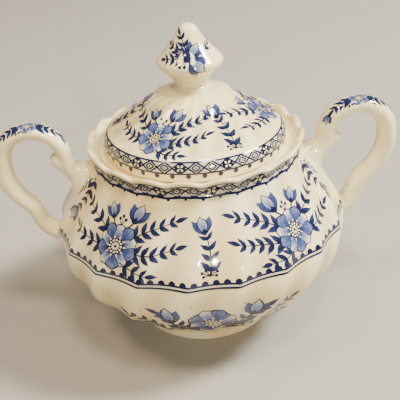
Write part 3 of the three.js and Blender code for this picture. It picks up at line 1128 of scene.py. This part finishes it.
def add_node(tree, kind, inputs=(), **settings):
    """Adds a node with its settings, and sets or links its inputs."""
    node = tree.nodes.new(kind)
    for name, value in settings.items():
        setattr(node, name, value)
    for name, value in dict(inputs).items():
        if isinstance(value, bpy.types.NodeSocket):
            tree.links.new(value, node.inputs[name])
        else:
            node.inputs[name].default_value = value
    return node


def cream_colour(tree, place):
    """Cream body under the glaze: cloudy patches, glaze pooled darker in the flutes together with
    painted shade in them, tea stains and iron specks."""
    cloud = add_node(
        tree, "ShaderNodeTexNoise", {"Vector": place, "Scale": scale_of(CLOUD), "Detail": 3.0}
    )
    warm = add_node(
        tree,
        "ShaderNodeMapRange",
        {"Value": cloud.outputs["Fac"], "From Min": 0.36, "From Max": 0.66},
    )
    # Darker in the flutes: partly glaze that pools there, and partly painted shade that stands in
    # for the flutes' shading.
    glaze_pool_and_shade = add_node(tree, "ShaderNodeAttribute", attribute_name="glaze_pool_and_shade")
    pooled_glaze_and_shade = add_node(
        tree, "ShaderNodeMapRange", {"Value": glaze_pool_and_shade.outputs["Fac"], "From Min": 0.4, "To Max": 0.6}
    )
    stain = add_node(
        tree,
        "ShaderNodeTexNoise",
        {"Vector": place, "Scale": scale_of(STAIN), "Detail": 5.0, "Roughness": 0.7},
    )
    tea = add_node(
        tree,
        "ShaderNodeMapRange",
        {"Value": stain.outputs["Fac"], "From Min": 0.55, "From Max": 0.72, "To Max": 0.6},
    )
    grain = add_node(
        tree, "ShaderNodeTexVoronoi", {"Vector": place, "Scale": scale_of(SPECKS_APART)}
    )
    iron = add_node(
        tree,
        "ShaderNodeMapRange",
        {"Value": grain.outputs["Distance"], "From Min": 0.09, "From Max": 0.03},
    )
    # Only some of the cells hold a speck.
    few = add_node(
        tree, "ShaderNodeMath", {0: grain.outputs["Color"], 1: 0.72}, operation="GREATER_THAN"
    )
    speck = add_node(
        tree,
        "ShaderNodeMath",
        {0: iron.outputs["Result"], 1: few.outputs["Value"]},
        operation="MULTIPLY",
    )
    tints = (
        (warm.outputs["Result"], "#E1CD93"),
        # Painted shade and pooled glaze in the flutes.
        (pooled_glaze_and_shade.outputs["Result"], "#CDB47C"),
        (tea.outputs["Result"], "#C08A55"),
        (speck.outputs["Value"], "#5A4433"),
    )
    colour = linear("#ECE1B9")
    for share, tint in tints:
        layer = {"Factor": share, "A": colour, "B": linear(tint)}
        colour = add_node(tree, "ShaderNodeMix", layer, data_type="RGBA").outputs["Result"]
    return colour


def finish_glaze(tree, colour, place):
    """Gloss of a fired glaze, with the faint ripple of brushed and dipped ware."""
    ripple = add_node(
        tree, "ShaderNodeTexNoise", {"Vector": place, "Scale": scale_of(RIPPLE), "Detail": 1.0}
    )
    bump = add_node(
        tree,
        "ShaderNodeBump",
        {"Height": ripple.outputs["Fac"], "Strength": 0.25, "Distance": 0.3 * MM},
    )
    gloss = {"Base Color": colour, "Roughness": 0.08, "IOR": 1.52, "Normal": bump.outputs["Normal"]}
    shader = add_node(tree, "ShaderNodeBsdfPrincipled", gloss)
    add_node(tree, "ShaderNodeOutputMaterial", {"Surface": shader.outputs["BSDF"]})


def new_material(name):
    """A material with an empty node tree."""
    material = bpy.data.materials.new(name)
    material.use_nodes = True
    material.node_tree.nodes.clear()
    return material


def glazed_earthenware():
    # Slip-cast cream earthenware, dipped in clear glaze and fired: a warm, slightly uneven body
    # shows through deep gloss, with sharp highlights that waver on the ripple.
    material = new_material("glazed_cream_earthenware")
    tree = material.node_tree
    place = add_node(tree, "ShaderNodeTexCoord").outputs["Object"]
    finish_glaze(tree, cream_colour(tree, place), place)
    return material


def cobalt_print():
    # Cobalt print laid on by tissue transfer, under the same glaze: pale blue washes where the ink
    # is thin, navy lines where it is full, and the ware's own gloss over both.
    material = new_material("underglaze_cobalt_print")
    tree = material.node_tree
    place = add_node(tree, "ShaderNodeTexCoord").outputs["Object"]
    ink = add_node(tree, "ShaderNodeAttribute", attribute_name="ink")
    mottle = add_node(
        tree, "ShaderNodeTexNoise", {"Vector": place, "Scale": scale_of(INK_MOTTLE), "Detail": 2.0}
    )
    shade = add_node(
        tree,
        "ShaderNodeMapRange",
        {"Value": mottle.outputs["Fac"], "From Min": 0.3, "From Max": 0.7, "To Min": 0.8},
    )
    strength = add_node(
        tree,
        "ShaderNodeMath",
        {0: ink.outputs["Fac"], 1: shade.outputs["Result"]},
        operation="MULTIPLY",
    )
    ramp = add_node(tree, "ShaderNodeValToRGB", {"Fac": strength.outputs["Value"]})
    stops = ((0.2, "#8A93AC"), (0.5, "#3E4974"), (0.78, "#171D40"), (1.0, "#070917"))
    while len(ramp.color_ramp.elements) < len(stops):
        ramp.color_ramp.elements.new(0.5)
    for element, (position, colour) in zip(ramp.color_ramp.elements, stops):
        element.position = position
        element.color = linear(colour)
    cover = add_node(
        tree,
        "ShaderNodeMapRange",
        {"Value": strength.outputs["Value"], "From Min": 0.02, "From Max": 0.2},
    )
    cream = cream_colour(tree, place)
    layer = {"Factor": cover.outputs["Result"], "A": cream, "B": ramp.outputs["Color"]}
    printed = add_node(tree, "ShaderNodeMix", layer, data_type="RGBA")
    finish_glaze(tree, printed.outputs["Result"], place)
    return material


# Pieces


def finish_piece(name, bm, material, body, *stands_for):
    """Scales a shape to metres and makes it a smooth piece of one body."""
    bmesh.ops.scale(bm, vec=(MM, MM, MM), verts=bm.verts)
    mesh = bpy.data.meshes.new(name)
    bm.to_mesh(mesh)
    bm.free()
    mesh.polygons.foreach_set("use_smooth", [True] * len(mesh.polygons))
    mesh.materials.append(material)
    piece = bpy.data.objects.new(name, mesh)
    bpy.context.scene.collection.objects.link(piece)
    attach(piece, body)
    if stands_for:
        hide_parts(*stands_for)


def bowl_print():
    """Bouquets and sprigs between the collar and the double line, and a garland near the foot."""
    blue = Print()
    for side in (-90, 90):
        for lean in (-1, 1):
            bouquet(blue, on_bowl(side + 38 * lean, BOUQUET_Z), 1.03, -lean)
            trail(blue, on_bowl(side + 69 * lean, TRAIL_Z), lean)
        sprig(blue, on_bowl(side, SPRIG_Z), 0.95)
        garland(blue, on_bowl(side, GARLAND_Z))
    return blue.pressed


def bowl_lines():
    """Double line round the belly, with half dots standing on it."""
    blue = Print()
    around = math.tau * BELLY_LINE_R
    for y, width, ink in ((0, 0.8, 0.95), (0.75, 0.7, 0.1), (1.5, 0.75, 0.95)):
        blue.line([(0, y), (around, y)], width, ink, layer=1 + 2 * ink)
    for i in range(BELLY_DOTS):
        blue.dot(around * (i + 0.5) / BELLY_DOTS, 2, 1.35, layer=1)
    blue.press(on_bowl(0, BELLY_LINE_Z, around))
    return blue.pressed


def collar_border():
    """A lattice round the outside of the collar, bold enough to read in its hollow."""
    blue = Print()
    pitch, cells = 6.4, 42
    lattice(blue, pitch, 5.8, cells, drop=1.1, width=0.9, wash=0.1)
    blue.press(on_bowl(0, COLLAR_BORDER_Z, pitch * cells))
    return blue.pressed


def lid_border():
    """A finer lattice round the lid's band."""
    blue = Print()
    pitch, cells = 6.06, 39
    lattice(blue, pitch, 4.4, cells, drop=1.9, width=0.65, wash=0.1)
    blue.press(on_lid(LID_BORDER_DEGREES, LID_BORDER_UP, pitch * cells))
    return blue.pressed


def lid_print():
    """Three bouquets round the dome, with a sprig between each two."""
    blue = Print()
    for i in range(3):
        bouquet(blue, on_lid(-125 + 120 * i, LID_BOUQUET_UP), 0.82)
        sprig(blue, on_lid(-65 + 120 * i, LID_SPRIG_UP), 0.9)
    return blue.pressed


def knob_print():
    """Leaves and two tulips round a berry, on the knob's front and back."""
    blue = Print()
    for centre in (-96, 84):
        for turn, length in ((0.25, 9), (1.7, 9), (2.4, 8), (3.1, 9)):
            branch(blue, *ahead(0, 0, turn, 0.8), turn, 0.3, length, 3, 4.4)
        tulip(blue, 0.8, -0.4, -0.75, 8)
        tulip(blue, 0.4, 0.6, 0.95, 6.6)
        berries(blue, -0.6, -0.6, -2.3, 1.1)
        blue.dot(0, 0, 1.5, layer=5)
        blue.press(on_knob(centre, KNOB_SPRIG_UP))
    return blue.pressed


def handle_print(handle, aside):
    """A small daisy on top of the arch, with leafy branches both ways."""
    blue = Print()
    for turn in (-math.pi / 2, math.pi / 2):
        x, y, turn = branch(blue, *ahead(0, 0, turn, 2), turn, 0.25, 7, 3, 4.6)
        tulip(blue, *ahead(x, y, turn, 2), turn, 4)
        berries(blue, *ahead(0, 0, turn, 3), turn + 0.9, 0.8)
        berries(blue, *ahead(0, 0, turn, 3), turn - 0.9, 0.8)
    daisy(blue, 0, 0, 3.6, petals=8)
    blue.press(on_handle(handle, HANDLE_SPRAY_AT, aside))
    return blue.pressed


add_camera()

BOWL_OUTSIDE = bowl_outside()
BOWL_PATH = measured(BOWL_OUTSIDE)
LID_PATH = measured(lid_outside())
KNOB_PATH = measured(knob_outside())

# The handles' sprays are pressed on while the skins are still in millimetres.
right_handle = Handle(RIGHT_HANDLE)
left_handle = Handle(LEFT_HANDLE)
right_spray = handle_print(right_handle, HANDLE_SPRAY_ASIDE)
left_spray = handle_print(left_handle, -HANDLE_SPRAY_ASIDE)

glaze = glazed_earthenware()
cobalt = cobalt_print()

finish_piece("fluted_bowl", bowl_mesh(), glaze, "bowl", "bowl_body")
finish_piece("right_scroll_handle", right_handle.skin, glaze, "bowl", "handle_right")
finish_piece("left_scroll_handle", left_handle.skin, glaze, "bowl", "handle_left")
finish_piece("domed_lid", lid_mesh(), glaze, "lid", "lid")
finish_piece("bell_knob", knob_mesh(), glaze, "lid", "lid_knob")

finish_piece("bowl_sprays", bowl_print(), cobalt, "bowl")
finish_piece("belly_double_line", bowl_lines(), cobalt, "bowl")
finish_piece("collar_border", collar_border(), cobalt, "bowl")
finish_piece("right_handle_spray", right_spray, cobalt, "bowl")
finish_piece("left_handle_spray", left_spray, cobalt, "bowl")
finish_piece("lid_border", lid_border(), cobalt, "lid")
finish_piece("lid_sprays", lid_print(), cobalt, "lid")
finish_piece("knob_sprig", knob_print(), cobalt, "lid")


# Stage


def add_floor():
    """A wide pale floor of plain paper."""
    bm = bmesh.new()
    bmesh.ops.create_grid(bm, x_segments=1, y_segments=1, size=FLOOR_HALF)
    mesh = bpy.data.meshes.new("floor")
    bm.to_mesh(mesh)
    bm.free()
    floor = bpy.data.objects.new("floor", mesh)
    bpy.context.scene.collection.objects.link(floor)
    # Matt backdrop paper: an even pale grey that takes soft shadows and shows no gloss.
    material = new_material("matt_backdrop_paper")
    tree = material.node_tree
    paper = {"Base Color": linear("#938F88"), "Roughness": 0.8}
    shader = add_node(tree, "ShaderNodeBsdfPrincipled", paper)
    add_node(tree, "ShaderNodeOutputMaterial", {"Surface": shader.outputs["BSDF"]})
    mesh.materials.append(material)


def add_softbox(name, place, size, power, colour):
    """A square soft light that faces the bowl."""
    data = bpy.data.lights.new(name, "AREA")
    data.size = size
    data.energy = power
    data.color = linear(colour)[:3]
    light = bpy.data.objects.new(name, data)
    light.location = place
    aim = Vector((0, 0, VIEW_HEIGHT * MM)) - light.location
    light.rotation_euler = aim.to_track_quat("-Z", "Y").to_euler()
    bpy.context.scene.collection.objects.link(light)


add_floor()

# The strongest light comes from the right, a warmer one from the left, and a small one in front
# lifts the belly. The pale surround softens their shadows.
add_softbox("left_softbox", (-0.7, -0.3, 1.75), size=0.36, power=23, colour="#FFDFAC")
add_softbox("middle_softbox", (0.22, -0.5, 1.8), size=0.36, power=25, colour="#FFF4E2")
add_softbox("right_softbox", (1.2, 0, 1.35), size=0.36, power=92, colour="#FFFDF4")
add_softbox("front_softbox", (0.5, -1.85, 0.9), size=0.13, power=30, colour="#FFF4E0")

world = bpy.data.worlds.new("studio")
bpy.context.scene.world = world
world.use_nodes = True
background = world.node_tree.nodes["Background"].inputs
background["Color"].default_value = linear("#DADDE2")
background["Strength"].default_value = 0.3
